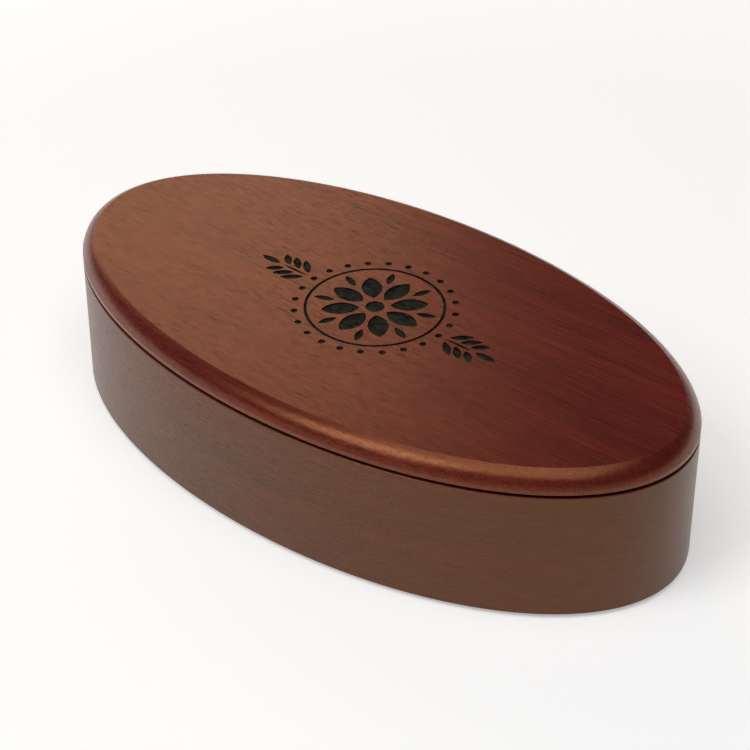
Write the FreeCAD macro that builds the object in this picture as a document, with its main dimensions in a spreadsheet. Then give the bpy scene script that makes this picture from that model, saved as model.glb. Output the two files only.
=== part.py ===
"""Oval wooden keepsake box with a lift-off lid.

The base is a solid ring with a rim, a rabbet and a ledge. A panel closes it from below, felt covers that, and
a velvet-covered card lies on the floor. The lid is a solid board with a convex bevelled edge, an engraved
ornament, a tongue that drops into the rabbet, and a velvet-covered card in a recess underneath.

Millimetres, +Z up, +X along the length. The origin is the middle of the underside, on the face that rests.
"""

import FreeCAD, Part
import math
import os

import Sketcher

SIZES = [
    # Outline and wall
    ("box_length", 190.0, "long axis of the oval outline"),
    ("box_width", 102.0, "short axis of the oval outline"),
    ("wall_height", 35.6, "height of the wooden wall, from its foot to its rim"),
    ("rim_width", 4.4, "flat rim round the lid's tongue"),
    ("ledge_width", 5.1, "ledge inside the rim, at the bottom of the rabbet"),
    ("rabbet_depth", 5.2, "drop from the rim to the ledge"),
    ("cove_radius", 0.6, "hollow corner where the rabbet meets the ledge"),
    ("arris_radius", 0.35, "softened sharp edges of the wooden pieces"),
    # Bottom
    ("panel_thickness", 6.0, "bottom panel"),
    ("panel_lap", 5.0, "how far the bottom panel reaches under the wall"),
    ("glue_gap", 0.1, "room for glue round a piece that is set into another"),
    ("felt_thickness", 1.2, "felt under the box"),
    ("felt_margin", 3.0, "bare wood left round the felt"),
    # Linings
    ("lining_clearance", 0.3, "room between a lining and the wood round it"),
    ("floor_card_thickness", 2.0, "card under the floor's velvet"),
    ("lid_card_thickness", 1.5, "card under the lid's velvet"),
    ("velvet_thickness", 1.4, "velvet with its pile, on the face of a lining"),
    ("velvet_turn_thickness", 0.6, "velvet pulled round the edge of a card"),
    ("velvet_edge_radius", 0.9, "rounding of the velvet at a lining's edge"),
    # Lid
    ("parting_gap", 0.9, "dark line between the rim and the lid, whose tongue stands on the ledge"),
    ("band_height", 1.3, "upright band at the lid's edge, next to the parting line"),
    ("bevel_height", 4.2, "rise of the lid's bevel"),
    ("bevel_inset", 4.0, "reach of the lid's bevel, seen from above"),
    ("bevel_bulge", 0.7, "how far the bevel stands out from a straight one"),
    ("tongue_clearance", 0.4, "play between the tongue and the rabbet's wall"),
    ("tongue_width", 6.0, "width of the tongue"),
    ("recess_rise", 0.8, "how far the lid's recess rises above its shoulder"),
    # Engraved ornament
    ("engraving_depth", 0.5, "depth of the engraving"),
    ("line_width", 0.8, "width of an engraved line"),
    ("eye_diameter", 5.0, "dot in the middle of the rosette"),
    ("petal_start", 4.0, "distance of a petal's inner point from the middle"),
    ("petal_length", 10.0, "length of a petal"),
    ("petal_width", 5.4, "width of a petal"),
    ("sepal_start", 11.0, "distance of a sepal's inner point from the middle"),
    ("sepal_length", 5.6, "length of a sepal"),
    ("sepal_width", 2.0, "width of a sepal"),
    ("ring_diameter", 37.0, "outer diameter of the line round the rosette"),
    ("bead_circle", 42.0, "diameter of the circle of beads"),
    ("bead_diameter", 1.8, "diameter of a bead"),
    ("sprig_start", 23.0, "distance of a sprig's stem from the middle"),
    ("stem_length", 9.2, "length of a sprig's stem"),
    ("leaf_pitch", 3.4, "distance between pairs of leaves"),
    ("leaf_gap", 0.6, "uncut wood between a stem and its leaves"),
    ("leaf_length", 6.4, "length of the largest leaf"),
    ("leaf_width", 2.1, "width of a leaf"),
    ("leaf_turn", 42.0, "angle between a leaf and its stem, in degrees"),
]
PETAL_COUNT = 8
BEAD_COUNT = 24
SPRIG_COUNT = 2
LEAF_LENGTH_SHARES = (1.0, 0.9, 0.78)
FULL_TURN = 360.0
MATCH_SHARE = 1e-4

# A sketch's own numbers for the points of a curve, and for its first axis, which starts at its middle
START = 1
END = 2
CENTRE = 3
FIRST_AXIS = -1

# Places worked out from the sizes, as expressions
WALL_WIDTH = "(Sizes.rim_width + Sizes.ledge_width)"
PANEL_EDGE = f"({WALL_WIDTH} - Sizes.panel_lap)"
PANEL_TOP = "(Sizes.felt_thickness + Sizes.panel_thickness)"
LID_LEVEL = "(Sizes.felt_thickness + Sizes.wall_height + Sizes.parting_gap)"
FLOOR_LINING_EDGE = f"({WALL_WIDTH} + Sizes.lining_clearance)"
TONGUE_EDGE = "(Sizes.rim_width + Sizes.tongue_clearance)"
TONGUE_DEPTH = "(Sizes.rabbet_depth + Sizes.parting_gap)"
RECESS_EDGE = f"({TONGUE_EDGE} + Sizes.tongue_width)"
RECESS_TOP = f"({LID_LEVEL} + Sizes.recess_rise)"
LID_LINING_EDGE = f"({RECESS_EDGE} + Sizes.lining_clearance)"
LID_TOP = "(Sizes.band_height + Sizes.bevel_height)"
BEVEL_SLOPE = "sqrt(Sizes.bevel_inset * Sizes.bevel_inset + Sizes.bevel_height * Sizes.bevel_height)"


def add_sizes(doc):
    """Puts the driving sizes in a sheet, each under its own name."""
    sheet = doc.addObject("Spreadsheet::Sheet", "Sizes")
    for row, (name, value, meaning) in enumerate(SIZES, 1):
        sheet.set(f"A{row}", name)
        sheet.set(f"B{row}", str(value))
        sheet.setAlias(f"B{row}", name)
        sheet.set(f"C{row}", meaning)
    doc.recompute()


def oval_inside(inset):
    """Gives the length and width of the oval that lies an inset inside the outline."""
    return f"Sizes.box_length - 2 * {inset}", f"Sizes.box_width - 2 * {inset}"


def new_body(doc, name, level):
    """Starts a piece that stands at a level of the box."""
    body = doc.addObject("PartDesign::Body", name)
    body.Label = name
    body.setExpression(".Placement.Base.z", level)
    return body


def new_sketch(body, name, level):
    """Adds a level sketch at a height above the piece's own foot."""
    sketch = body.newObject("Sketcher::SketchObject", name)
    plane = next(face for face in body.Origin.OriginFeatures if face.Role == "XY_Plane")
    sketch.AttachmentSupport = [(plane, "")]
    sketch.MapMode = "FlatFace"
    sketch.setExpression(".AttachmentOffset.Base.z", level)
    return sketch


def bind(sketch, name, constraint, expression):
    """Adds a sketch dimension that follows an expression."""
    number = sketch.addConstraint(constraint)
    sketch.renameConstraint(number, name)
    sketch.setExpression(f"Constraints.{name}", expression)


def vector(along, across):
    """A point of a level sketch."""
    return FreeCAD.Vector(along, across, 0)


def add_oval(sketch, tag, length, width):
    """Draws an oval round the sketch's middle."""
    long_value = sketch.evalExpression(length)
    short_value = sketch.evalExpression(width)
    long_end = vector(long_value / 2, 0)
    short_end = vector(0, short_value / 2)
    oval = sketch.addGeometry(Part.Ellipse(long_end, short_end, vector(0, 0)))
    sketch.exposeInternalGeometry(oval)
    long_axis = oval + 1
    short_axis = oval + 2
    sketch.addConstraint(Sketcher.Constraint("Coincident", oval, CENTRE, FIRST_AXIS, START))
    sketch.addConstraint(Sketcher.Constraint("Horizontal", long_axis))
    bind(sketch, f"{tag}_length", Sketcher.Constraint("Distance", long_axis, long_value), length)
    bind(sketch, f"{tag}_width", Sketcher.Constraint("Distance", short_axis, short_value), width)


def add_circle(sketch, tag, diameter, along=None):
    """Draws a circle at the sketch's middle, or at a distance along its first axis."""
    size = sketch.evalExpression(diameter)
    place = sketch.evalExpression(along) if along else 0
    circle = sketch.addGeometry(Part.Circle(vector(place, 0), FreeCAD.Vector(0, 0, 1), size / 2))
    if along:
        sketch.addConstraint(Sketcher.Constraint("PointOnObject", circle, CENTRE, FIRST_AXIS))
        spacing = Sketcher.Constraint("DistanceX", FIRST_AXIS, START, circle, CENTRE, place)
        bind(sketch, f"{tag}_along", spacing, along)
    else:
        sketch.addConstraint(Sketcher.Constraint("Coincident", circle, CENTRE, FIRST_AXIS, START))
    bind(sketch, f"{tag}_diameter", Sketcher.Constraint("Diameter", circle, size), diameter)


def add_leaf(sketch, tag, along, length, width, aside=None, side=0):
    """Draws a pointed leaf between two equal arcs, on the first axis or turned off to one side of it."""
    start = sketch.evalExpression(along)
    reach = sketch.evalExpression(length)
    half_width = sketch.evalExpression(width) / 2
    away = sketch.evalExpression(aside) if aside else 0
    turn = side * math.radians(sketch.evalExpression("Sizes.leaf_turn"))
    foot = vector(start, side * away)
    tip = foot + vector(reach * math.cos(turn), reach * math.sin(turn))
    bulge = vector(-half_width * math.sin(turn), half_width * math.cos(turn))
    middle = (foot + tip) / 2
    guide = sketch.addGeometry(Part.LineSegment(foot, tip), True)
    left = sketch.addGeometry(Part.Arc(tip, middle + bulge, foot), False)
    right = sketch.addGeometry(Part.Arc(foot, middle - bulge, tip), False)
    for arc, first, last in ((left, END, START), (right, START, END)):
        sketch.addConstraint(Sketcher.Constraint("Coincident", arc, START, guide, first))
        sketch.addConstraint(Sketcher.Constraint("Coincident", arc, END, guide, last))
    sketch.addConstraint(Sketcher.Constraint("Equal", left, right))
    from_middle = (FIRST_AXIS, START, guide, START)
    bind(sketch, f"{tag}_along", Sketcher.Constraint("DistanceX", *from_middle, start), along)
    if side:
        upward = from_middle if side > 0 else (guide, START, FIRST_AXIS, START)
        bind(sketch, f"{tag}_aside", Sketcher.Constraint("DistanceY", *upward, away), aside)
        bind(sketch, f"{tag}_turn", Sketcher.Constraint("Angle", guide, turn), f"{side} * Sizes.leaf_turn")
    else:
        sketch.addConstraint(Sketcher.Constraint("PointOnObject", guide, START, FIRST_AXIS))
        sketch.addConstraint(Sketcher.Constraint("Horizontal", guide))
    bind(sketch, f"{tag}_length", Sketcher.Constraint("Distance", guide, reach), length)
    radius = f"(({length}) * ({length}) + ({width}) * ({width})) / (4 * ({width}))"
    bind(sketch, f"{tag}_radius", Sketcher.Constraint("Radius", left, sketch.evalExpression(radius)), radius)


def pad(body, sketch, height, downward=False):
    """Raises a sketch into a solid."""
    feature = body.newObject("PartDesign::Pad", f"{sketch.Name}_pad")
    feature.Profile = sketch
    feature.setExpression("Length", height)
    feature.Reversed = downward
    body.Document.recompute()
    return feature


def cut(body, sketch, depth, upward=False):
    """Sinks a sketch into the solid, and stops if nothing was taken away."""
    before = body.Shape.Volume
    feature = body.newObject("PartDesign::Pocket", f"{sketch.Name}_cut")
    feature.Profile = sketch
    feature.setExpression("Length", depth)
    feature.Reversed = upward
    body.Document.recompute()
    if body.Shape.Volume >= before:
        raise RuntimeError(f"{feature.Name} cuts nothing")
    return feature


def repeat_round(body, feature, count):
    """Repeats a cut round the middle of its sketch."""
    before = body.Shape.Volume
    pattern = body.newObject("PartDesign::PolarPattern", f"{feature.Name}_round")
    pattern.Originals = [feature]
    pattern.Axis = (feature.Profile[0], ["N_Axis"])
    pattern.Angle = FULL_TURN
    pattern.Occurrences = count
    body.Tip = pattern
    body.Document.recompute()
    if body.Shape.Volume >= before:
        raise RuntimeError(f"{pattern.Name} repeats nothing")


def oval_edge(body, inset, level):
    """Names the edge of a piece that runs round an oval at a height above the piece's own foot."""
    tip = body.Tip
    length = tip.evalExpression(oval_inside(inset)[0])
    height = tip.evalExpression(level)
    near = length * MATCH_SHARE
    for number, edge in enumerate(tip.Shape.Edges, 1):
        box = edge.BoundBox
        is_level = abs(box.ZMin - height) < near and abs(box.ZMax - height) < near
        if is_level and abs(box.XLength - length) < near:
            return f"Edge{number}"
    raise RuntimeError(f"{body.Name} has no oval edge at {inset}, {level}")


def round_over(body, name, radius, places):
    """Rounds the oval edges that lie at the given insets and heights."""
    edges = [oval_edge(body, inset, level) for inset, level in places]
    base = body.Tip
    feature = body.newObject("PartDesign::Fillet", name)
    feature.Base = (base, edges)
    feature.setExpression("Radius", radius)
    body.Document.recompute()


def make_plate(doc, name, inset, thickness, level):
    """A flat oval plate."""
    body = new_body(doc, name, level)
    outline = new_sketch(body, f"{name}_outline", "0")
    add_oval(outline, "edge", *oval_inside(inset))
    pad(body, outline, thickness)
    return body


def make_base_wall(doc):
    """The ring, with its rim and ledge above and the seat of the bottom panel below."""
    body = new_body(doc, "base_wall", "Sizes.felt_thickness")
    ring = new_sketch(body, "ring", "0")
    add_oval(ring, "outside", *oval_inside("0"))
    add_oval(ring, "inside", *oval_inside(WALL_WIDTH))
    pad(body, ring, "Sizes.wall_height")
    rabbet = new_sketch(body, "rabbet", "Sizes.wall_height")
    add_oval(rabbet, "edge", *oval_inside("Sizes.rim_width"))
    cut(body, rabbet, "Sizes.rabbet_depth")
    panel_seat = new_sketch(body, "panel_seat", "0")
    add_oval(panel_seat, "edge", *oval_inside(PANEL_EDGE))
    cut(body, panel_seat, "Sizes.panel_thickness", upward=True)
    ledge_level = "(Sizes.wall_height - Sizes.rabbet_depth)"
    round_over(body, "rabbet_cove", "Sizes.cove_radius", [("Sizes.rim_width", ledge_level)])
    arrises = [
        ("0", "0"),
        ("0", "Sizes.wall_height"),
        ("Sizes.rim_width", "Sizes.wall_height"),
        (WALL_WIDTH, ledge_level),
    ]
    round_over(body, "wall_arrises", "Sizes.arris_radius", arrises)
    return body


def add_bevel(body):
    """Raises the lid's convex bevel through three ovals that lie on one arc."""
    middle_inset = f"(Sizes.bevel_inset / 2 - Sizes.bevel_bulge * Sizes.bevel_height / {BEVEL_SLOPE})"
    middle_rise = f"(Sizes.bevel_height / 2 + Sizes.bevel_bulge * Sizes.bevel_inset / {BEVEL_SLOPE})"
    stations = [("0", "0"), (middle_inset, middle_rise), ("Sizes.bevel_inset", "Sizes.bevel_height")]
    sections = []
    for number, (inset, rise) in enumerate(stations):
        section = new_sketch(body, f"bevel_section_{number}", f"Sizes.band_height + {rise}")
        add_oval(section, "edge", *oval_inside(inset))
        sections.append(section)
    loft = body.newObject("PartDesign::AdditiveLoft", "bevel")
    loft.Profile = sections[0]
    loft.Sections = sections[1:]
    body.Document.recompute()


def engrave(body):
    """Cuts the ornament: a rosette in a ring of beads, between two leafy sprigs."""
    depth = "Sizes.engraving_depth"
    middle = new_sketch(body, "eye_and_ring", LID_TOP)
    add_circle(middle, "eye", "Sizes.eye_diameter")
    add_circle(middle, "ring_outside", "Sizes.ring_diameter")
    add_circle(middle, "ring_inside", "Sizes.ring_diameter - 2 * Sizes.line_width")
    cut(body, middle, depth)
    petal = new_sketch(body, "petal", LID_TOP)
    add_leaf(petal, "petal", "Sizes.petal_start", "Sizes.petal_length", "Sizes.petal_width")
    repeat_round(body, cut(body, petal, depth), PETAL_COUNT)
    sepal = new_sketch(body, "sepal", LID_TOP)
    sepal.AttachmentOffset.Rotation = FreeCAD.Rotation(FreeCAD.Vector(0, 0, 1), FULL_TURN / PETAL_COUNT / 2)
    add_leaf(sepal, "sepal", "Sizes.sepal_start", "Sizes.sepal_length", "Sizes.sepal_width")
    repeat_round(body, cut(body, sepal, depth), PETAL_COUNT)
    bead = new_sketch(body, "bead", LID_TOP)
    add_circle(bead, "bead", "Sizes.bead_diameter", "Sizes.bead_circle / 2")
    repeat_round(body, cut(body, bead, depth), BEAD_COUNT)
    sprig = new_sketch(body, "sprig", LID_TOP)
    add_leaf(sprig, "stem", "Sizes.sprig_start", "Sizes.stem_length", "Sizes.line_width")
    tip_foot = "Sizes.sprig_start + Sizes.stem_length + Sizes.leaf_gap"
    add_leaf(sprig, "tip", tip_foot, "Sizes.leaf_length", "Sizes.leaf_width")
    aside = "Sizes.line_width / 2 + Sizes.leaf_gap"
    for pair, share in enumerate(LEAF_LENGTH_SHARES):
        foot = f"Sizes.sprig_start + Sizes.line_width + {pair} * Sizes.leaf_pitch"
        for name, side in (("upper", 1), ("lower", -1)):
            tag = f"{name}_{pair}"
            add_leaf(sprig, tag, foot, f"{share} * Sizes.leaf_length", "Sizes.leaf_width", aside, side)
    repeat_round(body, cut(body, sprig, depth), SPRIG_COUNT)


def make_lid_panel(doc):
    """The lid's board. Its foot is the shoulder above the rim, and its tongue reaches down from there."""
    body = new_body(doc, "lid_panel", LID_LEVEL)
    band = new_sketch(body, "band", "0")
    add_oval(band, "edge", *oval_inside("0"))
    pad(body, band, "Sizes.band_height")
    add_bevel(body)
    tongue = new_sketch(body, "tongue", "0")
    add_oval(tongue, "edge", *oval_inside(TONGUE_EDGE))
    pad(body, tongue, TONGUE_DEPTH, downward=True)
    tongue_foot = f"(-1 * {TONGUE_DEPTH})"
    recess = new_sketch(body, "recess", tongue_foot)
    add_oval(recess, "edge", *oval_inside(RECESS_EDGE))
    cut(body, recess, f"{TONGUE_DEPTH} + Sizes.recess_rise", upward=True)
    arrises = [("0", "0"), (TONGUE_EDGE, tongue_foot), (RECESS_EDGE, tongue_foot)]
    round_over(body, "lid_arrises", "Sizes.arris_radius", arrises)
    engrave(body)
    return body


def make_velvet(doc, name, inset, card_thickness, level, faces_up):
    """Velvet pulled over a card and down round its edge, facing up on the floor or down in the lid."""
    body = new_body(doc, name, level)
    height = f"(Sizes.velvet_thickness + {card_thickness})"
    outline = new_sketch(body, f"{name}_outline", "0")
    add_oval(outline, "edge", *oval_inside(inset))
    pad(body, outline, height)
    card_room = new_sketch(body, f"{name}_card_room", "0" if faces_up else height)
    add_oval(card_room, "edge", *oval_inside(f"({inset} + Sizes.velvet_turn_thickness)"))
    cut(body, card_room, card_thickness, upward=faces_up)
    face_level = height if faces_up else "0"
    round_over(body, f"{name}_edge", "Sizes.velvet_edge_radius", [(inset, face_level)])
    return body


def make_pieces(doc):
    """Makes every piece of the box, from the felt up to the lid."""
    card_inset = "Sizes.velvet_turn_thickness + Sizes.glue_gap"
    floor_card_edge = f"({FLOOR_LINING_EDGE} + {card_inset})"
    lid_card_edge = f"({LID_LINING_EDGE} + {card_inset})"
    lid_velvet_level = f"{RECESS_TOP} - Sizes.lid_card_thickness - Sizes.velvet_thickness"
    return [
        make_plate(doc, "underside_felt", "Sizes.felt_margin", "Sizes.felt_thickness", "0"),
        make_base_wall(doc),
        make_plate(
            doc,
            "bottom_panel",
            f"({PANEL_EDGE} + Sizes.glue_gap)",
            "Sizes.panel_thickness",
            "Sizes.felt_thickness",
        ),
        make_plate(doc, "floor_card", floor_card_edge, "Sizes.floor_card_thickness", PANEL_TOP),
        make_velvet(doc, "floor_velvet", FLOOR_LINING_EDGE, "Sizes.floor_card_thickness", PANEL_TOP, True),
        make_lid_panel(doc),
        make_plate(
            doc,
            "lid_card",
            lid_card_edge,
            "Sizes.lid_card_thickness",
            f"{RECESS_TOP} - Sizes.lid_card_thickness",
        ),
        make_velvet(doc, "lid_velvet", LID_LINING_EDGE, "Sizes.lid_card_thickness", lid_velvet_level, False),
    ]


def check(doc, pieces):
    """Stops if any object failed, or if a piece isn't one valid solid."""
    for thing in doc.Objects:
        if "Invalid" in thing.State or "Error" in thing.State:
            raise RuntimeError(f"{thing.Name} failed: {thing.State}")
    for piece in pieces:
        shape = piece.Shape
        if shape.isNull() or not shape.isValid() or len(shape.Solids) != 1:
            raise RuntimeError(f"{piece.Label} isn't one valid solid")


def main():
    """Builds the box and writes one file for each piece."""
    doc = FreeCAD.newDocument("oval_box")
    add_sizes(doc)
    pieces = make_pieces(doc)
    doc.recompute()
    check(doc, pieces)
    os.makedirs("parts", exist_ok=True)
    for piece in pieces:
        piece.Shape.exportStep(f"parts/{piece.Label}.step")
        box = piece.Shape.BoundBox
        print(f"{piece.Label}: {piece.Shape.Volume:.1f} mm3, z {box.ZMin:.2f} to {box.ZMax:.2f}")


main()
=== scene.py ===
"""Dresses the oval keepsake box: stained wood, a charred engraving, velvet, felt and a plain studio."""

import math
from functools import partial

import bmesh
import bpy
from bpy.props import FloatProperty, FloatVectorProperty, IntProperty, PointerProperty
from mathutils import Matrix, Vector


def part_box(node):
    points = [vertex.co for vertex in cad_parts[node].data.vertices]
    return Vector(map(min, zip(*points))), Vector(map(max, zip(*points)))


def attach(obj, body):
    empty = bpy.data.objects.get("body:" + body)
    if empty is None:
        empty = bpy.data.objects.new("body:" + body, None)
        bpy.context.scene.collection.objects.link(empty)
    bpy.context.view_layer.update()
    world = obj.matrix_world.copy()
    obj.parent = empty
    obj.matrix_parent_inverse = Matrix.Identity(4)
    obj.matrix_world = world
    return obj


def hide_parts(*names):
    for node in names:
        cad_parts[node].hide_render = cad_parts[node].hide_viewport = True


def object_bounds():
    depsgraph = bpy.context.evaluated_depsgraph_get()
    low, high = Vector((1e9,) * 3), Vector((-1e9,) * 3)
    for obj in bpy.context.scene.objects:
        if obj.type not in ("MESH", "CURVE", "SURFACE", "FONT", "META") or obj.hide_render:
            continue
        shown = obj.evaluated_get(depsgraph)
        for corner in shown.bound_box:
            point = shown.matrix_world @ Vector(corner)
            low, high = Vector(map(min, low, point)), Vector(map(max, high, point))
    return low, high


bl_info = {
    "name": "Oval Keepsake Box",
    "version": (1, 0, 0),
    "blender": (4, 5, 0),
    "location": "View3D > Sidebar > Oval Box",
    "description": "Finishes the wood, engraving and linings of an oval keepsake box and lights it",
    "category": "Object",
}

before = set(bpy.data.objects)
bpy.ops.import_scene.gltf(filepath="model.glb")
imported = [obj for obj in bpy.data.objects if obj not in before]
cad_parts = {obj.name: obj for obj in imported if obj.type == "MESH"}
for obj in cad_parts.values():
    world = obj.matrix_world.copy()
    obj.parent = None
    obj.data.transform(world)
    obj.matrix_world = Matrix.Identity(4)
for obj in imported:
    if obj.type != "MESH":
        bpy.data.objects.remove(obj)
CAD_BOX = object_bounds()

# Most values of a noise lie between these two.
NOISE_LOW = 0.30
NOISE_HIGH = 0.70
# Looks of a noise: how much fine detail it has, how rough that detail is, and how far the noise wavers.
FIBROUS = {"detail": 3.0, "roughness": 0.6}
STREAKY = {"roughness": 0.6}
SPECKLED = {"detail": 1.0}
WAVY = {"detail": 3.0, "distortion": 0.6}
RINGED = {"detail": 3.0, "distortion": 0.8}
PULPY = {"detail": 4.0, "roughness": 0.65}
STROKED = {"distortion": 0.4}
# Halfway between two colours.
MIDDLE = 0.5
# The white that the camera sees where nothing stands.
WHITE = (1.0, 1.0, 1.0)
# How much a noise varies the roughness of a matt surface.
MATT_SPREAD = 0.14
# Values of a noise between which a fleck of the card comes up.
FLECK_FROM = 0.66
FLECK_TO = 0.72
# Corners closer than the step are at one place, and faces that turn less than the limit shade as one.
SEAM_STEP = 1e-6
SEAM_LIMIT = math.radians(12.0)
# A face is an arris where the upward part of its normal lies between these two.
ARRIS_FROM = 0.20
ARRIS_TO = 0.97
ARRIS_FADE = 0.12
# Depths below the top of the lid: of the crease round its flat top, and of the faces of the engraving.
CREASE_DEPTH = 0.00035
ENGRAVED_FROM = 0.00002
ENGRAVED_TO = 0.00100
# The engraving lies within this share of the lid's length and width from its middle.
ENGRAVED_REACH_SHARE = 0.3
# Shifts of the grain, so that the lid and the wall aren't cut from one board.
WALL_GRAIN_SHIFT = (0.0, 0.0, 0.0)
LID_GRAIN_SHIFT = (3.7, 9.1, 5.3)


def colour(name, description, default):
    """A colour that a user may change, in linear light."""
    return FloatVectorProperty(
        name=name, description=description, default=default, size=3, min=0.0, max=1.0, subtype="COLOR"
    )


def length(name, description, default):
    """A length that a user may change, in metres."""
    return FloatProperty(
        name=name, description=description, default=default, min=0.0, precision=5, unit="LENGTH"
    )


def share(name, description, default):
    """A share from none to all that a user may change."""
    return FloatProperty(
        name=name, description=description, default=default, min=0.0, max=1.0, subtype="FACTOR"
    )


def ratio(name, description, default):
    """A ratio of one or more that a user may change."""
    return FloatProperty(name=name, description=description, default=default, min=1.0)


def power(name, description, default):
    """The power of a lamp that a user may change, in watts."""
    return FloatProperty(name=name, description=description, default=default, min=0.0, unit="POWER")


def angle(name, description, default):
    """An angle that a user may change, stated in degrees."""
    return FloatProperty(
        name=name, description=description, default=math.radians(default), subtype="ANGLE", unit="ROTATION"
    )


class WoodSettings(bpy.types.PropertyGroup):
    """Stain, grain, lacquer and engraving of the wooden pieces."""

    lid_stain_dark: colour("Lid dark stain", "Stain in the lid's late growth", (0.048, 0.0047, 0.0043))
    lid_stain_light: colour("Lid light stain", "Stain in the lid's early growth", (0.202, 0.0203, 0.0183))
    lid_end_stain: colour("Lid end stain", "Stain where the lid's fibres end", (0.075, 0.0085, 0.0075))
    lid_sheen_tint: colour("Lid sheen", "Tint of the light from the lid's fibres", (1.0, 0.42, 0.16))
    lid_fibre_tone: share("Lid fibre tone", "How much the fibres vary the lid's stain", 0.42)
    lid_breadth: ratio("Lid fibre breadth", "Breadth of the lid's fibres, in thicknesses", 1.0)
    lid_relief: length("Lid relief", "Depth of the fibres under the lid's lacquer", 0.000014)
    lid_roughness: share("Lid roughness", "Roughness of the satin lacquer on the lid", 0.27)
    # The wall's stain is a darker copy of the lid's: one stain, with painted shade on the wall.
    wall_stain_dark: colour("Wall dark stain", "Stain in the wall's late growth", (0.036, 0.0040, 0.0036))
    wall_stain_light: colour("Wall light stain", "Stain in the wall's early growth", (0.136, 0.0150, 0.0135))
    wall_end_stain: colour("Wall end stain", "Stain where the wall's fibres end", (0.076, 0.0086, 0.0076))
    wall_sheen_tint: colour("Wall sheen", "Tint of the light from the wall's fibres", (0.82, 0.53, 0.22))
    wall_fibre_tone: share("Wall fibre tone", "How much the fibres vary the wall's stain", 0.40)
    wall_breadth: ratio("Wall fibre breadth", "Breadth of the wall's fibres, in thicknesses", 10.0)
    wall_relief: length("Wall relief", "Depth of the fibres under the wall's lacquer", 0.000034)
    wall_roughness: share("Wall roughness", "Roughness of the satin lacquer on the wall", 0.35)
    pore: colour("Pores", "Stain that has gathered in the pores", (0.012, 0.0030, 0.0024))
    # Rubbed edges: lighter along the arrises, partly stain worn thin and partly a painted highlight.
    rubbed: colour("Rubbed edges", "Stain rubbed thin along the arrises", (0.170, 0.052, 0.026))
    band_width: length("Growth band width", "Width of the growth bands", 0.0075)
    band_length: length("Growth band length", "Length of the growth bands", 0.22)
    band_tone: share("Growth band tone", "How much the growth bands lighten the stain", 0.34)
    streak_width: length("Streak width", "Width of the long thin streaks", 0.0011)
    streak_length: length("Streak length", "Length of the long thin streaks", 0.09)
    streak_tone: share("Streak tone", "How much the streaks lighten the stain", 0.30)
    fibre_width: length("Fibre width", "Width of the fine fibres", 0.00042)
    fibre_length: length("Fibre length", "Length of the fine fibres", 0.016)
    pore_width: length("Pore width", "Width of the pores", 0.00022)
    pore_length: length("Pore length", "Length of the pores", 0.0034)
    pore_from: share("Pores from", "Value of the pores' noise where a pore starts", 0.55)
    pore_to: share("Pores to", "Value of the pores' noise where a pore is fully open", 0.70)
    pore_tone: share("Pore tone", "How much the pores darken the stain", 0.55)
    blotch: length("Blotch", "Size of the uneven patches of stain", 0.028)
    blotch_tone: share("Blotch tone", "How much the patches lighten the stain", 0.18)
    end_grain: share("End grain", "How evenly the stain has soaked in where the fibres end", 0.40)
    end_grain_from: share("End grain from", "Lengthwise part of the normal where it starts", 0.15)
    end_grain_to: share("End grain to", "Lengthwise part of the normal where it is full", 0.75)
    # How strong that lighter mark is along the arrises: wear with a painted highlight; on the lid's crease
    # it is a painted highlight only.
    rubbing: share("Rubbing", "How much the arrises are rubbed", 0.55)
    least_rubbing: share("Least rubbing", "How much of that rubbing the least rubbed spots get", 0.35)
    crease_rubbing: share("Crease rubbing", "How much of that rubbing the crease of the lid gets", 0.7)
    scuff: length("Scuff", "Length of the rubbed spots along the arrises", 0.006)
    fibre_roughness: share("Fibre roughness", "How much the fibres vary the roughness", 0.06)
    pore_roughness: share("Pore roughness", "How much rougher the pores are", 0.14)
    gloss: share("Gloss", "Strength of the sheen of the stained fibres", 1.0)
    coat: share("Lacquer", "How much clear lacquer lies on the stain at most", 0.24)
    coat_roughness: share("Coat roughness", "Roughness of the clear top coat", 0.20)
    pore_relief: share("Pore relief", "Depth of the pores as a share of the fibres' depth", 0.8)
    orange_peel: length("Orange peel", "Size of the slight waves of the lacquer", 0.0016)
    orange_peel_depth: length("Orange peel depth", "Depth of the slight waves of the lacquer", 0.000008)
    char: colour("Char", "Burnt wood in the engraving", (0.0022, 0.0022, 0.0018))
    char_light: colour("Ash", "Paler burnt wood between the burner's passes", (0.054, 0.052, 0.042))
    burner_pass: length("Burner pass", "Distance between the burner's passes in the engraving", 0.00032)
    pass_tone: share("Pass tone", "How dark the wood stays between two passes", 0.35)
    soot_length: length("Soot length", "Length of the patches of soot", 0.0022)
    soot_width: length("Soot width", "Width of the patches of soot", 0.0012)
    soot_relief: length("Soot relief", "Depth of the crumbled burnt surface", 0.00016)
    char_roughness: share("Char roughness", "Roughness of the burnt wood", 0.86)
    char_gloss: share("Char gloss", "Strength of the burnt wood's sheen", 0.10)
    plywood_dark: colour("Dark plywood", "Late growth of the bare plywood", (0.36, 0.23, 0.13))
    plywood_light: colour("Light plywood", "Early growth of the bare plywood", (0.54, 0.39, 0.25))
    plywood_ring: length("Plywood ring", "Width of the plywood's growth rings", 0.009)
    plywood_ply: length("Ply", "Thickness of one ply", 0.0016)
    plywood_ring_tone: share("Plywood ring tone", "How much the rings vary the plywood's colour", 0.9)
    plywood_fibre_tone: share("Plywood fibre tone", "How much the fibres vary the plywood's colour", 0.6)
    plywood_relief: length("Plywood relief", "Depth of the plywood's fibres", 0.00003)
    plywood_roughness: share("Plywood roughness", "Roughness of the bare plywood", 0.70)


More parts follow.
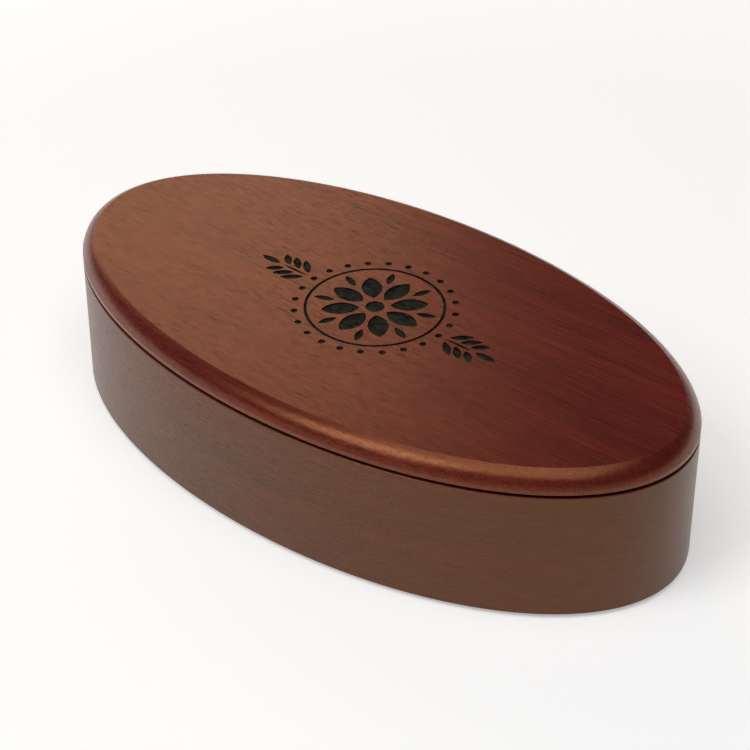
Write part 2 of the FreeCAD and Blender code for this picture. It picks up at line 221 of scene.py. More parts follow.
class LiningSettings(bpy.types.PropertyGroup):
    """Velvet linings, the felt underneath and the card in the linings."""

    # The velvet darkens to its foot colour in the hollows of its relief: painted shade.
    velvet_deep: colour("Velvet", "Colour at the foot of the pile", (0.0008, 0.0008, 0.0010))
    velvet_tip: colour("Velvet tips", "Colour at the tips of the pile", (0.0022, 0.0022, 0.0026))
    velvet_grain: length("Velvet grain", "Size of the velvet's clumps of fibres", 0.0004)
    velvet_sheen: share("Velvet sheen", "Strength of the velvet's soft sheen", 0.06)
    velvet_thickness: length("Velvet thickness", "Thickness of the velvet without its pile", 0.0005)
    velvet_bend_share: share("Velvet bend", "Radius of the velvet's edge as a share of its height", 0.27)
    pile_height: length("Pile height", "Height of the velvet's pile", 0.0008)
    pile_rise: share("Pile rise", "How much of the pile's height stands clear of the cloth", 0.75)
    pile_radius: length("Pile tuft", "Radius of a tuft of pile at its foot", 0.00022)
    pile_spacing: length("Pile spacing", "Least distance between tufts", 0.00062)
    pile_lean: angle("Pile lean", "How far tufts lean from upright", 22.0)
    # The felt darkens to this colour in the hollows of its relief: painted shade.
    felt_deep: colour("Felt", "Colour of the felt", (0.012, 0.012, 0.013))
    felt_tip: colour("Felt fibres", "Colour of the felt's loose fibres", (0.034, 0.034, 0.037))
    felt_grain: length("Felt grain", "Size of the felt's clumps of fibres", 0.0006)
    felt_sheen: share("Felt sheen", "Strength of the felt's soft sheen", 0.15)
    felt_body: share("Felt body", "Thickness of the pressed felt as a share of its room", 0.8)
    felt_bend_share: share("Felt bend", "Radius of the felt's edge as a share of its room", 0.5)
    nap_height: length("Nap length", "Length of the felt's loose fibres", 0.0004)
    nap_rise: share("Nap rise", "How much of that length stands clear of the felt", 0.8)
    nap_radius: length("Nap fibre", "Radius of a loose fibre of the felt", 0.00006)
    nap_spacing: length("Nap spacing", "Least distance between loose fibres", 0.0008)
    nap_lean: angle("Nap lean", "How far the felt's loose fibres lie over", 80.0)
    stroke_length: length("Stroke length", "Length of the strokes that lay the fibres over", 0.030)
    stroke_width: length("Stroke width", "Width of the strokes that lay the fibres over", 0.012)
    # Stroke tone: painted shade where the strokes lay the fibres over.
    stroke_tone: share("Stroke tone", "How light the fibres stay where a stroke lays them over", 0.55)
    fibre_relief: share("Fibre relief", "Depth between the clumps of fibres as a share of their size", 0.4)
    fibre_roughness: share("Fibre roughness", "Roughness of velvet and felt", 0.94)
    fibre_gloss: share("Fibre gloss", "Strength of the hard sheen of velvet and felt", 0.15)
    sheen_roughness: share("Sheen roughness", "Roughness of the soft sheen of velvet and felt", 0.35)
    sheen_tint: colour("Sheen tint", "Colour of the soft sheen of velvet and felt", (0.55, 0.55, 0.62))
    card_dark: colour("Dark pulp", "Dark pulp of the card", (0.25, 0.225, 0.19))
    card_light: colour("Light pulp", "Light pulp of the card", (0.36, 0.33, 0.285))
    card_fleck: colour("Flecks", "Dark flecks in the card", (0.10, 0.09, 0.08))
    card_grain: length("Pulp grain", "Size of the card's clumps of pulp", 0.0012)
    fleck_length: length("Fleck length", "Length of the card's flecks", 0.0018)
    fleck_width: length("Fleck width", "Width of the card's flecks", 0.0004)
    fleck_tone: share("Fleck tone", "How dark the flecks are", 0.6)
    card_relief: length("Pulp relief", "Depth between the card's clumps of pulp", 0.00005)
    card_roughness: share("Card roughness", "Roughness of the card", 0.88)
    seed: IntProperty(name="Seed", description="Seed of the pile's and nap's places", default=7)


class StudioSettings(bpy.types.PropertyGroup):
    """Camera, floor and light."""

    azimuth: angle("Azimuth", "Direction of the camera round the box", 40.0)
    elevation: angle("Elevation", "Height of the camera above the horizon", 35.0)
    distance: length("Distance", "Distance from the camera to the middle of the box", 0.594)
    lens: FloatProperty(name="Lens", description="Focal length in millimetres", default=108.0, min=1.0)
    floor: colour("Floor", "Colour of the floor", (0.84, 0.86, 0.89))
    floor_roughness: share("Floor roughness", "Roughness of the floor", 0.9)
    floor_reach: length("Floor reach", "Distance from the box to the floor's sides", 12.0)
    floor_lift: share("Floor lift", "Light that the floor adds to what the camera sees of it", 0.40)
    fade_start: length("Fade start", "Distance from the box where the floor starts to fade to white", 0.22)
    fade_end: length("Fade end", "Distance from the box where the floor is white", 1.3)
    sky_high: colour("High surroundings", "Light from overhead", (0.04, 0.04, 0.04))
    sky_low: colour("Low surroundings", "Light from near the horizon", (0.8, 0.8, 0.8))
    haze_foot: share("Haze foot", "Height up the sky where the low light starts to dim", 0.02)
    haze_top: share("Haze top", "Height up the sky where only the high light is left", 0.20)
    back_azimuth: angle("Back azimuth", "Direction of the back softbox round the box", 242.0)
    back_elevation: angle("Back elevation", "Height of the back softbox above the horizon", 28.0)
    back_distance: length("Back distance", "Distance of the back softbox from the box", 1.2)
    back_width: length("Back width", "Width of the back softbox", 0.92)
    back_height: length("Back height", "Height of the back softbox", 0.62)
    back_power: power("Back power", "Power of the back softbox", 2.7)
    back_light: colour("Back light", "Colour of the back softbox", (1.0, 0.76, 0.50))
    top_azimuth: angle("Top azimuth", "Direction of the top softbox round the box", 30.0)
    top_elevation: angle("Top elevation", "Height of the top softbox above the horizon", 72.0)
    top_distance: length("Top distance", "Distance of the top softbox from the box", 1.6)
    top_width: length("Top width", "Width of the top softbox", 1.5)
    top_height: length("Top height", "Height of the top softbox", 1.5)
    top_power: power("Top power", "Power of the top softbox", 13.0)
    top_light: colour("Top light", "Colour of the top softbox", (1.0, 0.97, 0.93))
    front_azimuth: angle("Front azimuth", "Direction of the front softbox round the box", -20.0)
    front_elevation: angle("Front elevation", "Height of the front softbox above the horizon", 48.0)
    front_distance: length("Front distance", "Distance of the front softbox from the box", 1.7)
    front_width: length("Front width", "Width of the front softbox", 0.8)
    front_height: length("Front height", "Height of the front softbox", 0.8)
    front_power: power("Front power", "Power of the front softbox", 7.7)
    front_light: colour("Front light", "Colour of the front softbox", (1.0, 0.97, 0.93))


def settings():
    """The settings of the scene's box."""
    return bpy.context.scene.oval_box


def own_settings(group, piece):
    """The settings whose names start with a piece's name, under the rest of their names."""
    start = f"{piece}_"
    names = [name for name in type(group).__annotations__ if name.startswith(start)]
    return {name.removeprefix(start): getattr(group, name) for name in names}


def add_node(tree, kind, inputs=None, **choices):
    """Adds a node, makes its choices, and links or sets its inputs."""
    node = tree.nodes.new(kind)
    for name, value in choices.items():
        setattr(node, name, value)
    for name, value in (inputs or {}).items():
        if isinstance(value, bpy.types.NodeSocket):
            tree.links.new(value, node.inputs[name])
        else:
            node.inputs[name].default_value = value
    return node


def compute(tree, operation, first, second=0.0):
    """Adds one step of arithmetic and gives its result."""
    return add_node(tree, "ShaderNodeMath", {0: first, 1: second}, operation=operation).outputs[0]


def remap(tree, value, low, high, new_low=0.0, new_high=1.0):
    """Stretches a value from one range to another, without going past its ends."""
    inputs = {"Value": value, "From Min": low, "From Max": high, "To Min": new_low, "To Max": new_high}
    return add_node(tree, "ShaderNodeMapRange", inputs).outputs[0]


def mix_colour(tree, amount, first, second, blend="MIX"):
    """Mixes two colours and gives the result."""
    node = add_node(tree, "ShaderNodeMix", data_type="RGBA", blend_type=blend, clamp_factor=True)
    for socket, value in ((node.inputs[0], amount), (node.inputs[6], first), (node.inputs[7], second)):
        if isinstance(value, bpy.types.NodeSocket):
            tree.links.new(value, socket)
        elif isinstance(value, float):
            socket.default_value = value
        else:
            socket.default_value = (*value, 1.0)
    return node.outputs[2]


def new_material(name):
    """A material with one shader, its tree and the place of each point on its piece."""
    material = bpy.data.materials.new(name)
    material.use_nodes = True
    tree = material.node_tree
    shader = tree.nodes["Principled BSDF"]
    place = add_node(tree, "ShaderNodeTexCoord")
    return material, tree, shader, place


def noise(tree, place, size, detail=2.0, roughness=0.5, distortion=0.0, shift=(0.0, 0.0, 0.0)):
    """Noise whose features have a size along each axis, in metres."""
    scale = [1.0 / part for part in size]
    where = add_node(tree, "ShaderNodeMapping", {"Vector": place, "Location": shift, "Scale": scale})
    inputs = {
        "Vector": where.outputs[0],
        "Scale": 1.0,
        "Detail": detail,
        "Roughness": roughness,
        "Distortion": distortion,
    }
    return add_node(tree, "ShaderNodeTexNoise", inputs).outputs[0]


def grain(tree, place, length_along, width, shift, breadth=1.0, **look):
    """Noise drawn out along the length of the box, as wood grows, and across it by a breadth."""
    return noise(tree, place, (length_along, width * breadth, width), shift=shift, **look)


def bump(tree, height, depth, normal=None):
    """Turns a height from 0 to 1 into a relief of a depth in metres."""
    inputs = {"Height": height, "Strength": 1.0, "Distance": depth}
    if normal is not None:
        inputs["Normal"] = normal
    return add_node(tree, "ShaderNodeBump", inputs).outputs[0]


def axis_part(tree, vector, axis):
    """Gives one part of a vector."""
    return add_node(tree, "ShaderNodeSeparateXYZ", {0: vector}).outputs[axis]


def arris_part(tree, slant):
    """Shows 1 where a face neither stands upright nor lies flat, with soft ends."""
    leaning = remap(tree, slant, ARRIS_FROM, ARRIS_FROM + ARRIS_FADE)
    not_flat = remap(tree, slant, ARRIS_TO, ARRIS_TO - ARRIS_FADE)
    return compute(tree, "MULTIPLY", leaning, not_flat)


def wall_arrises(tree, coordinates):
    """Shows 1 on the rounded arrises of the wall."""
    tilt = axis_part(tree, coordinates.outputs["Normal"], "Z")
    return arris_part(tree, compute(tree, "ABSOLUTE", tilt))


def lid_arrises(tree, coordinates, top):
    """Shows 1 on the lower arrises of the lid, and less on the crease round its flat top."""
    tilt = axis_part(tree, coordinates.outputs["Normal"], "Z")
    lower = arris_part(tree, compute(tree, "MULTIPLY", tilt, -1.0))
    near_top = remap(tree, axis_part(tree, coordinates.outputs["Object"], "Z"), top - CREASE_DEPTH, top)
    # The crease round the flat top gets a painted highlight.
    crease = compute(tree, "MULTIPLY", near_top, compute(tree, "LESS_THAN", tilt, ARRIS_TO))
    crease = compute(tree, "MULTIPLY", crease, settings().wood.crease_rubbing)
    return compute(tree, "MAXIMUM", lower, crease)


def spread(tree, value, amount, middle=0.0):
    """Spreads a noise evenly about a middle value."""
    return remap(tree, value, NOISE_LOW, NOISE_HIGH, middle - amount / 2, middle + amount / 2)


def add_up(tree, values):
    """Gives the sum of several values."""
    total = values[0]
    for value in values[1:]:
        total = compute(tree, "ADD", total, value)
    return total


def stained_wood(piece, shift, find_arrises):
    """Close-grained wood with a red-brown stain under satin lacquer, its grain along the box."""
    wood = settings().wood
    own = own_settings(wood, piece)
    material, tree, shader, coordinates = new_material(f"stained wood of the {piece}")
    place = coordinates.outputs["Object"]
    lie = {"shift": shift, "breadth": own["breadth"]}
    bands = grain(tree, place, wood.band_length, wood.band_width, **lie, **WAVY)
    streaks = grain(tree, place, wood.streak_length, wood.streak_width, **lie, **STREAKY)
    fibre = grain(tree, place, wood.fibre_length, wood.fibre_width, **lie, **FIBROUS)
    pores = grain(tree, place, wood.pore_length, wood.pore_width, shift, **SPECKLED)
    blotch = grain(tree, place, wood.blotch, wood.blotch, shift)
    peel = grain(tree, place, wood.orange_peel, wood.orange_peel, shift, **SPECKLED)
    arris_spots = grain(tree, place, wood.scuff, wood.scuff / 2, shift, **FIBROUS)
    tones = (
        MIDDLE,
        spread(tree, bands, wood.band_tone),
        spread(tree, streaks, wood.streak_tone),
        spread(tree, fibre, own["fibre_tone"]),
        spread(tree, blotch, wood.blotch_tone),
    )
    # On the wall this stain holds painted shade, being darker than the lid's copy.
    stain = mix_colour(tree, add_up(tree, tones), own["stain_dark"], own["stain_light"])
    open_pore = remap(tree, pores, wood.pore_from, wood.pore_to)
    stain = mix_colour(tree, compute(tree, "MULTIPLY", open_pore, wood.pore_tone), stain, wood.pore)
    facing_end = compute(tree, "ABSOLUTE", axis_part(tree, coordinates.outputs["Normal"], "X"))
    soaked = remap(tree, facing_end, wood.end_grain_from, wood.end_grain_to, 0.0, wood.end_grain)
    stain = mix_colour(tree, soaked, stain, own["end_stain"])
    # Lighter along the arrises: partly stain worn thin, partly a painted highlight; on the lid's crease a
    # painted highlight.
    rubbed = compute(tree, "MULTIPLY", find_arrises(tree, coordinates), wood.rubbing)
    spot_strength = remap(tree, arris_spots, NOISE_LOW, NOISE_HIGH, wood.least_rubbing)
    rubbed = compute(tree, "MULTIPLY", rubbed, spot_strength)
    stain = mix_colour(tree, rubbed, stain, wood.rubbed)
    gloss = spread(tree, fibre, wood.fibre_roughness, own["roughness"])
    gloss = compute(tree, "ADD", gloss, compute(tree, "MULTIPLY", open_pore, wood.pore_roughness))
    lacquer = remap(tree, fibre, NOISE_LOW, NOISE_HIGH, 0.0, wood.coat)
    lacquer = compute(tree, "MULTIPLY", lacquer, compute(tree, "SUBTRACT", 1.0, open_pore))
    relief = compute(tree, "SUBTRACT", fibre, compute(tree, "MULTIPLY", open_pore, wood.pore_relief))
    relief = bump(tree, peel, wood.orange_peel_depth, bump(tree, relief, own["relief"]))
    tree.links.new(stain, shader.inputs["Base Color"])
    tree.links.new(gloss, shader.inputs["Roughness"])
    tree.links.new(lacquer, shader.inputs["Coat Weight"])
    tree.links.new(relief, shader.inputs["Normal"])
    shader.inputs["Specular IOR Level"].default_value = wood.gloss
    shader.inputs["Specular Tint"].default_value = (*own["sheen_tint"], 1.0)
    shader.inputs["Coat Roughness"].default_value = wood.coat_roughness
    return material


def charred_wood(name):
    """Matt burnt wood, with the faint lines that the burner leaves as it passes to and fro."""
    wood = settings().wood
    material, tree, shader, coordinates = new_material(name)
    place = coordinates.outputs["Object"]
    turns = compute(tree, "MULTIPLY", axis_part(tree, place, "Y"), math.tau / wood.burner_pass)
    passes = remap(tree, compute(tree, "SINE", turns), -1.0, 1.0, wood.pass_tone)
    soot_size = (wood.soot_length, wood.soot_width, wood.soot_width)
    soot = noise(tree, place, soot_size, **FIBROUS)
    ash = compute(tree, "MULTIPLY", remap(tree, soot, NOISE_LOW, NOISE_HIGH), passes)
    tree.links.new(mix_colour(tree, ash, wood.char, wood.char_light), shader.inputs["Base Color"])
    tree.links.new(spread(tree, soot, MATT_SPREAD, wood.char_roughness), shader.inputs["Roughness"])
    tree.links.new(bump(tree, soot, wood.soot_relief), shader.inputs["Normal"])
    shader.inputs["Specular IOR Level"].default_value = wood.char_gloss
    return material


def char_engraving(level, reach):
    """Gives the charred material to the faces just under the lid's top, within a reach of its middle."""
    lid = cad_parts["lid_panel"].data
    lid.materials.append(charred_wood("charred wood"))
    for facet in lid.polygons:
        below = level - facet.center.z
        is_near = abs(facet.center.x) < reach.x and abs(facet.center.y) < reach.y
        if is_near and ENGRAVED_FROM < below < ENGRAVED_TO:
            facet.material_index = len(lid.materials) - 1


def plain_wood(name):
    """Bare pale plywood of the bottom panel."""
    wood = settings().wood
    material, tree, shader, coordinates = new_material(name)
    place = coordinates.outputs["Object"]
    ring_size = (wood.band_length, wood.plywood_ring, wood.plywood_ply)
    rings = noise(tree, place, ring_size, **RINGED)
    fibre_size = (wood.fibre_length, wood.fibre_width, wood.fibre_width)
    fibre = noise(tree, place, fibre_size, **FIBROUS)
    ring_tone = spread(tree, rings, wood.plywood_ring_tone)
    tone = add_up(tree, (MIDDLE, ring_tone, spread(tree, fibre, wood.plywood_fibre_tone)))
    face = mix_colour(tree, tone, wood.plywood_dark, wood.plywood_light)
    tree.links.new(face, shader.inputs["Base Color"])
    tree.links.new(spread(tree, fibre, MATT_SPREAD, wood.plywood_roughness), shader.inputs["Roughness"])
    tree.links.new(bump(tree, fibre, wood.plywood_relief), shader.inputs["Normal"])
    return material


def grey_card(name):
    """Pulp board with pale and dark flecks."""
    lining = settings().lining
    material, tree, shader, coordinates = new_material(name)
    place = coordinates.outputs["Object"]
    pulp_size = (lining.card_grain, lining.card_grain, lining.card_grain / 2)
    pulp = noise(tree, place, pulp_size, **PULPY)
    fleck_size = (lining.fleck_length, lining.fleck_width, lining.fleck_width)
    flecks = noise(tree, place, fleck_size, **SPECKLED)
    tone = remap(tree, pulp, NOISE_LOW, NOISE_HIGH)
    face = mix_colour(tree, tone, lining.card_dark, lining.card_light)
    fleck = remap(tree, flecks, FLECK_FROM, FLECK_TO, 0.0, lining.fleck_tone)
    face = mix_colour(tree, fleck, face, lining.card_fleck)
    tree.links.new(face, shader.inputs["Base Color"])
    tree.links.new(spread(tree, pulp, MATT_SPREAD, lining.card_roughness), shader.inputs["Roughness"])
    tree.links.new(bump(tree, pulp, lining.card_relief), shader.inputs["Normal"])
    return material


def cloth_material(name, kind):
    """A cloth of short fibres, with painted shade in the hollows of its relief and where strokes lay it
    over, and a soft sheen.
    """
    lining = settings().lining
    own = own_settings(lining, kind)
    material, tree, shader, coordinates = new_material(name)
    place = coordinates.outputs["Object"]
    clump = own["grain"]
    fibres = noise(tree, place, (clump, clump, clump), **FIBROUS)
    stroke_size = (lining.stroke_length, lining.stroke_width, lining.stroke_width)
    strokes = noise(tree, place, stroke_size, **STROKED)
    # Darker in the hollows of the fibres' relief and where strokes lay them over: painted shade.
    laid_shade = remap(tree, strokes, NOISE_LOW, NOISE_HIGH, lining.stroke_tone)
    tone = compute(tree, "MULTIPLY", remap(tree, fibres, NOISE_LOW, NOISE_HIGH), laid_shade)
    tree.links.new(mix_colour(tree, tone, own["deep"], own["tip"]), shader.inputs["Base Color"])
    tree.links.new(spread(tree, fibres, MATT_SPREAD, lining.fibre_roughness), shader.inputs["Roughness"])
    tree.links.new(bump(tree, fibres, clump * lining.fibre_relief), shader.inputs["Normal"])
    shader.inputs["Specular IOR Level"].default_value = lining.fibre_gloss
    shader.inputs["Sheen Weight"].default_value = own["sheen"]
    shader.inputs["Sheen Roughness"].default_value = lining.sheen_roughness
    shader.inputs["Sheen Tint"].default_value = (*lining.sheen_tint, 1.0)
    return material


def give_material(node, material):
    """Puts a material on every slot of a CAD node."""
    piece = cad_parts[node]
    if not piece.material_slots:
        piece.data.materials.append(material)
    for slot in piece.material_slots:
        slot.material = material


def join_seams(node):
    """Runs the shading of a CAD node on across the seams of its smooth faces, led by the large ones."""
    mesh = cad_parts[node].data
    normals = [corner.vector.copy() for corner in mesh.corner_normals]
    pull = list(normals)
    meeting = {}
    for face in mesh.polygons:
        for corner in face.loop_indices:
            pull[corner] = normals[corner] * face.area
            place = mesh.vertices[mesh.loops[corner].vertex_index].co
            key = tuple(round(value / SEAM_STEP) for value in place)
            meeting.setdefault(key, []).append(corner)
    joined = list(normals)
    for corners in meeting.values():
        for index in corners:
            own = normals[index]
            near = [pull[other] for other in corners if own.angle(normals[other], 0.0) < SEAM_LIMIT]
            joined[index] = sum(near, Vector()).normalized()
    mesh.normals_split_custom_set(joined)


def new_piece(name, mesh, material):
    """Adds a piece with a material to the scene."""
    piece = bpy.data.objects.new(name, mesh)
    bpy.context.scene.collection.objects.link(piece)
    mesh.materials.clear()
    mesh.materials.append(material)
    return piece


def oval_point(half, turn, inset, level):
    """A point of the oval that lies an inset inside a half length and half width."""
    return Vector(((half.x - inset) * math.cos(turn), (half.y - inset) * math.sin(turn), level))


def oval_row(half, inset, level, sides):
    """A closed row of points round an oval."""
    return [oval_point(half, math.tau * side / sides, inset, level) for side in range(sides)]


def cloth_face(name, half, face, skirt, edge_radius, up, rings=36, sides=180, bend_steps=6):
    """The outer side of a cloth over an oval card: a flat face, a rounded edge and a skirt."""
    mesh = bmesh.new()
    rows = []
    for ring in range(1, rings + 1):
        part = ring / rings
        rows.append(oval_row(half * part, edge_radius * part, face, sides))
    for step in range(1, bend_steps + 1):
        bend = math.pi / 2 * step / bend_steps
        inset = edge_radius * (1.0 - math.sin(bend))
        level = face - up * edge_radius * (1.0 - math.cos(bend))
        rows.append(oval_row(half, inset, level, sides))
    rows.append(oval_row(half, 0.0, skirt, sides))
    loops = [[mesh.verts.new(point) for point in row] for row in rows]
    middle = mesh.verts.new((0.0, 0.0, face))
    for k in range(sides):
        mesh.faces.new((middle, loops[0][k], loops[0][(k + 1) % sides]))
    for inner, outer in zip(loops, loops[1:]):
        for k in range(sides):
            after = (k + 1) % sides
            mesh.faces.new((inner[k], outer[k], outer[after], inner[after]))
    if up < 0:
        bmesh.ops.reverse_faces(mesh, faces=mesh.faces)
    for facet in mesh.faces:
        facet.smooth = True
    result = bpy.data.meshes.new(name)
    mesh.to_mesh(result)
    mesh.free()
    return result


def pile_nodes():
    """A tree that stands tufts of pile all over a cloth."""
    name = "pile of a cloth"
    if name in bpy.data.node_groups:
        return bpy.data.node_groups[name]
    tree = bpy.data.node_groups.new(name, "GeometryNodeTree")
    tree.interface.new_socket("Geometry", in_out="INPUT", socket_type="NodeSocketGeometry")
    for label in ("Spacing", "Height", "Radius", "Lean"):
        tree.interface.new_socket(label, in_out="INPUT", socket_type="NodeSocketFloat")
    tree.interface.new_socket("Seed", in_out="INPUT", socket_type="NodeSocketInt")
    tree.interface.new_socket("Material", in_out="INPUT", socket_type="NodeSocketMaterial")
    tree.interface.new_socket("Geometry", in_out="OUTPUT", socket_type="NodeSocketGeometry")
    given = add_node(tree, "NodeGroupInput").outputs
    density = compute(tree, "POWER", given["Spacing"], -2.0)
    scatter = {
        "Mesh": given["Geometry"],
        "Distance Min": given["Spacing"],
        "Density Max": density,
        "Seed": given["Seed"],
    }
    places = add_node(tree, "GeometryNodeDistributePointsOnFaces", scatter, distribute_method="POISSON")
    tuft = add_node(
        tree,
        "GeometryNodeMeshCone",
        {"Vertices": 3, "Radius Top": 0.0, "Radius Bottom": given["Radius"], "Depth": given["Height"]},
        fill_type="NONE",
    )
    lean = given["Lean"]
    lean_back = compute(tree, "MULTIPLY", lean, -1.0)
    lowest = add_node(tree, "ShaderNodeCombineXYZ", {0: lean_back, 1: lean_back, 2: 0.0}).outputs[0]
    highest = add_node(tree, "ShaderNodeCombineXYZ", {0: lean, 1: lean, 2: math.tau}).outputs[0]
    tilt = add_node(
        tree,
        "FunctionNodeRandomValue",
        {0: lowest, 1: highest, "Seed": given["Seed"]},
        data_type="FLOAT_VECTOR",
    )
    turned = add_node(
        tree,
        "FunctionNodeRotateRotation",
        {"Rotation": places.outputs["Rotation"], "Rotate By": tilt.outputs[0]},
        rotation_space="LOCAL",
    )
    tufts = add_node(
        tree,
        "GeometryNodeInstanceOnPoints",
        {"Points": places.outputs["Points"], "Instance": tuft.outputs[0], "Rotation": turned.outputs[0]},
    )
    real = add_node(tree, "GeometryNodeRealizeInstances", {"Geometry": tufts.outputs[0]})
    dressed = add_node(
        tree, "GeometryNodeSetMaterial", {"Geometry": real.outputs[0], "Material": given["Material"]}
    )
    add_node(tree, "NodeGroupOutput", {0: dressed.outputs[0]})
    return tree


def stand_pile(name, cloth, material, tufts):
    """Makes the pile of a cloth as a plain mesh."""
    host = new_piece(f"{name}_host", cloth, material)
    modifier = host.modifiers.new("pile", "NODES")
    modifier.node_group = pile_nodes()
    values = {
        "Spacing": tufts["spacing"],
        "Height": tufts["height"],
        "Radius": tufts["radius"],
        "Lean": tufts["lean"],
        "Seed": settings().lining.seed,
        "Material": material,
    }
    for item in modifier.node_group.interface.items_tree:
        if item.in_out == "INPUT" and item.name in values:
            modifier[item.identifier] = values[item.name]
    seen = bpy.context.evaluated_depsgraph_get()
    mesh = bpy.data.meshes.new_from_object(host.evaluated_get(seen), depsgraph=seen)
    bpy.data.objects.remove(host)
    return new_piece(name, mesh, material)


def thicken(piece, thickness):
    """Gives a cloth its thickness, inwards from its outer side."""
    modifier = piece.modifiers.new("thickness", "SOLIDIFY")
    modifier.thickness = thickness
    modifier.offset = -1.0


def make_lining(node, body, up):
    """Velvet pulled over a card: the cloth with its thickness, and its pile."""
    lining = settings().lining
    low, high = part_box(node)
    half = (high - low) / 2
    clear = lining.pile_height * lining.pile_rise
    face = high.z - clear if up > 0 else low.z + clear
    skirt = low.z if up > 0 else high.z
    edge_radius = (high.z - low.z) * lining.velvet_bend_share
    velvet = cloth_material(f"velvet of the {body}", "velvet")
    surface = cloth_face(f"{node}_face", half, face, skirt, edge_radius, up)
    pile = stand_pile(f"{node}_pile", surface.copy(), velvet, own_settings(lining, "pile"))
    cloth = new_piece(f"{node}_cloth", surface, velvet)
    thicken(cloth, lining.velvet_thickness)
    for piece in (cloth, pile):
        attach(piece, body)
    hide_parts(node)


class FinishWall(bpy.types.Operator):
    """Stain and lacquer the wall of the base"""

    bl_idname = "oval_box.finish_wall"
    bl_label = "Finish Wall"

    def execute(self, context):
        join_seams("base_wall")
        give_material("base_wall", stained_wood("wall", WALL_GRAIN_SHIFT, wall_arrises))
        return {"FINISHED"}


class FinishLid(bpy.types.Operator):
    """Stain and lacquer the lid, and char its engraving"""

    bl_idname = "oval_box.finish_lid"
    bl_label = "Finish Lid"

    def execute(self, context):
        low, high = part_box("lid_panel")
        join_seams("lid_panel")
        find_arrises = partial(lid_arrises, top=high.z)
        give_material("lid_panel", stained_wood("lid", LID_GRAIN_SHIFT, find_arrises))
        char_engraving(high.z, (high - low) * ENGRAVED_REACH_SHARE)
        return {"FINISHED"}


class FinishBottom(bpy.types.Operator):
    """Leave the bottom panel as bare plywood"""

    bl_idname = "oval_box.finish_bottom"
    bl_label = "Finish Bottom"

    def execute(self, context):
        give_material("bottom_panel", plain_wood("bare plywood"))
        return {"FINISHED"}


class LineFloor(bpy.types.Operator):
    """Pull velvet over the card on the floor"""

    bl_idname = "oval_box.line_floor"
    bl_label = "Line Floor"

    def execute(self, context):
        give_material("floor_card", grey_card("card of the floor"))
        make_lining("floor_velvet", "base", 1)
        return {"FINISHED"}


class LineLid(bpy.types.Operator):
    """Pull velvet over the card in the lid"""

    bl_idname = "oval_box.line_lid"
    bl_label = "Line Lid"

    def execute(self, context):
        give_material("lid_card", grey_card("card of the lid"))
        make_lining("lid_velvet", "lid", -1)
        return {"FINISHED"}


class FeltUnderside(bpy.types.Operator):
    """Lay felt under the box"""

    bl_idname = "oval_box.felt_underside"
    bl_label = "Felt Underside"

    def execute(self, context):
        lining = settings().lining
        low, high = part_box("underside_felt")
        half = (high - low) / 2
        face = low.z + lining.nap_height * lining.nap_rise
        room = high.z - face
        felt = cloth_material("pressed felt", "felt")
        edge_radius = room * lining.felt_bend_share
        surface = cloth_face("underside_felt_face", half, face, high.z, edge_radius, -1)
        nap = stand_pile("underside_felt_nap", surface.copy(), felt, own_settings(lining, "nap"))
        sheet = new_piece("underside_felt_sheet", surface, felt)
        thicken(sheet, room * lining.felt_body)
        for piece in (sheet, nap):
            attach(piece, "base")
        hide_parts("underside_felt")
        return {"FINISHED"}


def around(target, azimuth, elevation, distance):
    """A place at a direction and distance from a target, with azimuth 0 in front of the box."""
    flat = math.cos(elevation)
    offset = Vector((math.sin(azimuth) * flat, -math.cos(azimuth) * flat, math.sin(elevation)))
    return target + offset * distance


def aim(thing, target):
    """Points a lamp or the camera at a target."""
    thing.rotation_euler = (target - thing.location).to_track_quat("-Z", "Y").to_euler()


def add_softbox(studio, name, target):
    """A rectangular softbox that faces the box, from the settings that bear its name."""
    own = own_settings(studio, name)
    lamp = bpy.data.lights.new(f"{name}_softbox", "AREA")
    lamp.shape = "RECTANGLE"
    lamp.size = own["width"]
    lamp.size_y = own["height"]
    lamp.energy = own["power"]
    lamp.color = own["light"]
    softbox = bpy.data.objects.new(f"{name}_softbox", lamp)
    bpy.context.scene.collection.objects.link(softbox)
    softbox.location = around(target, own["azimuth"], own["elevation"], own["distance"])
    aim(softbox, target)
    softbox.visible_camera = False


def add_floor(studio):
    """A pale floor that stays white in the picture and keeps the shadow of the box."""
    reach = studio.floor_reach
    mesh = bpy.data.meshes.new("floor")
    corners = [(-reach, -reach, 0.0), (reach, -reach, 0.0), (reach, reach, 0.0), (-reach, reach, 0.0)]
    mesh.from_pydata(corners, [], [(0, 1, 2, 3)])
    material, tree, shader, coordinates = new_material("pale floor")
    shader.inputs["Base Color"].default_value = (*studio.floor, 1.0)
    shader.inputs["Roughness"].default_value = studio.floor_roughness
    shader.inputs["Specular IOR Level"].default_value = 0.0
    rays = add_node(tree, "ShaderNodeLightPath").outputs
    seen = compute(tree, "MAXIMUM", rays["Is Camera Ray"], rays["Is Glossy Ray"])
    seen = compute(tree, "MAXIMUM", seen, rays["Is Transmission Ray"])
    away = add_node(tree, "ShaderNodeVectorMath", {0: coordinates.outputs["Object"]}, operation="LENGTH")
    lift = remap(tree, away.outputs["Value"], studio.fade_start, studio.fade_end, studio.floor_lift, 1.0)
    shader.inputs["Emission Color"].default_value = (*WHITE, 1.0)
    tree.links.new(compute(tree, "MULTIPLY", seen, lift), shader.inputs["Emission Strength"])
    below = add_node(tree, "ShaderNodeNewGeometry").outputs["Backfacing"]
    clear = add_node(tree, "ShaderNodeBsdfTransparent").outputs[0]
    either = add_node(tree, "ShaderNodeMixShader", {0: below, 1: shader.outputs[0], 2: clear})
    tree.links.new(either.outputs[0], tree.nodes["Material Output"].inputs["Surface"])
    new_piece("studio_floor", mesh, material)


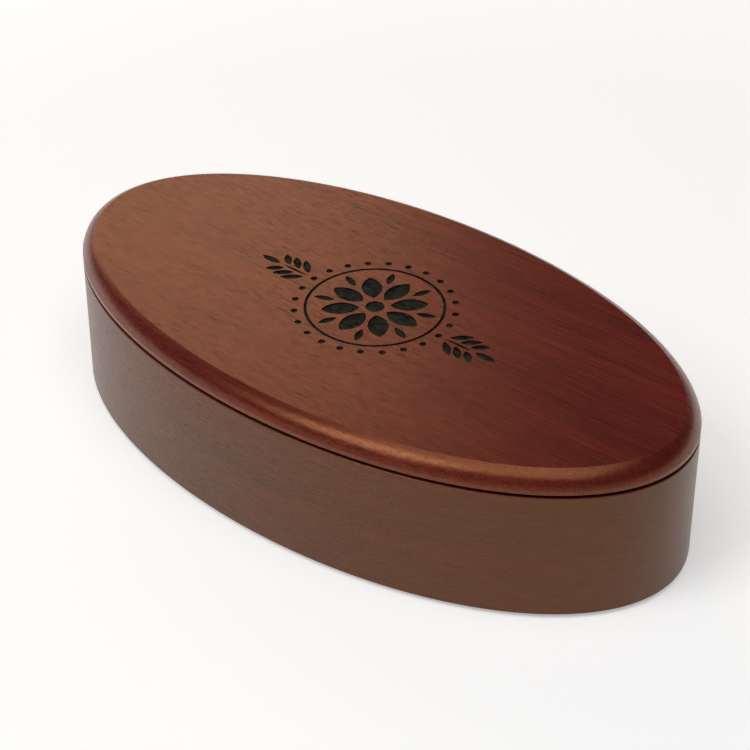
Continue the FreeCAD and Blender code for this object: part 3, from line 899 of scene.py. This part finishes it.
def add_surroundings(studio):
    """Light from all round: pale near the horizon, dim overhead, and white where the camera looks."""
    world = bpy.data.worlds.new("studio")
    world.use_nodes = True
    bpy.context.scene.world = world
    tree = world.node_tree
    direction = add_node(tree, "ShaderNodeTexCoord").outputs["Generated"]
    up_the_sky = remap(tree, axis_part(tree, direction, "Z"), studio.haze_foot, studio.haze_top)
    light = mix_colour(tree, up_the_sky, studio.sky_low, studio.sky_high)
    rays = add_node(tree, "ShaderNodeLightPath").outputs
    seen = compute(tree, "MAXIMUM", rays["Is Camera Ray"], rays["Is Transmission Ray"])
    near_horizon = compute(tree, "SUBTRACT", 1.0, up_the_sky)
    mirrored = compute(tree, "MULTIPLY", rays["Is Glossy Ray"], near_horizon)
    seen = compute(tree, "MAXIMUM", seen, mirrored)
    light = mix_colour(tree, seen, light, WHITE)
    tree.links.new(light, tree.nodes["Background"].inputs["Color"])


def add_camera(studio, target):
    """The camera, at the direction from which the closed box was seen."""
    camera = bpy.data.objects.new("camera", bpy.data.cameras.new("camera"))
    bpy.context.scene.collection.objects.link(camera)
    camera.data.lens = studio.lens
    camera.location = around(target, studio.azimuth, studio.elevation, studio.distance)
    aim(camera, target)
    bpy.context.scene.camera = camera


class SetStage(bpy.types.Operator):
    """Set up the floor, the light and the camera"""

    bl_idname = "oval_box.set_stage"
    bl_label = "Set Stage"

    def execute(self, context):
        studio = settings().studio
        low, high = CAD_BOX
        target = (low + high) / 2
        context.scene.view_settings.view_transform = "Standard"
        add_floor(studio)
        add_surroundings(studio)
        for name in ("back", "top", "front"):
            add_softbox(studio, name, target)
        add_camera(studio, target)
        return {"FINISHED"}


class BoxSettings(bpy.types.PropertyGroup):
    """All settings of the box."""

    wood: PointerProperty(type=WoodSettings)
    lining: PointerProperty(type=LiningSettings)
    studio: PointerProperty(type=StudioSettings)


STEPS = (FinishWall, FinishLid, FinishBottom, LineFloor, LineLid, FeltUnderside, SetStage)


class BoxPanel(bpy.types.Panel):
    """Lists the steps that dress the box, with the settings that they use"""

    bl_idname = "VIEW3D_PT_oval_box"
    bl_label = "Oval Box"
    bl_space_type = "VIEW_3D"
    bl_region_type = "UI"
    bl_category = "Oval Box"

    def draw(self, context):
        for step in STEPS:
            self.layout.operator(step.bl_idname)
        box = context.scene.oval_box
        for group in (box.wood, box.lining, box.studio):
            column = self.layout.column()
            for name in type(group).__annotations__:
                column.prop(group, name)


CLASSES = (WoodSettings, LiningSettings, StudioSettings, BoxSettings, *STEPS, BoxPanel)


def register():
    """Registers the classes and puts the settings on the scene."""
    for each in CLASSES:
        bpy.utils.register_class(each)
    bpy.types.Scene.oval_box = PointerProperty(type=BoxSettings)


def unregister():
    """Takes the settings and the classes away again."""
    del bpy.types.Scene.oval_box
    for each in reversed(CLASSES):
        bpy.utils.unregister_class(each)


def main():
    """Dresses the box step by step."""
    register()
    bpy.ops.oval_box.finish_wall()
    bpy.ops.oval_box.finish_lid()
    bpy.ops.oval_box.finish_bottom()
    bpy.ops.oval_box.line_floor()
    bpy.ops.oval_box.line_lid()
    bpy.ops.oval_box.felt_underside()
    bpy.ops.oval_box.set_stage()


if __name__ == "__main__":
    main()
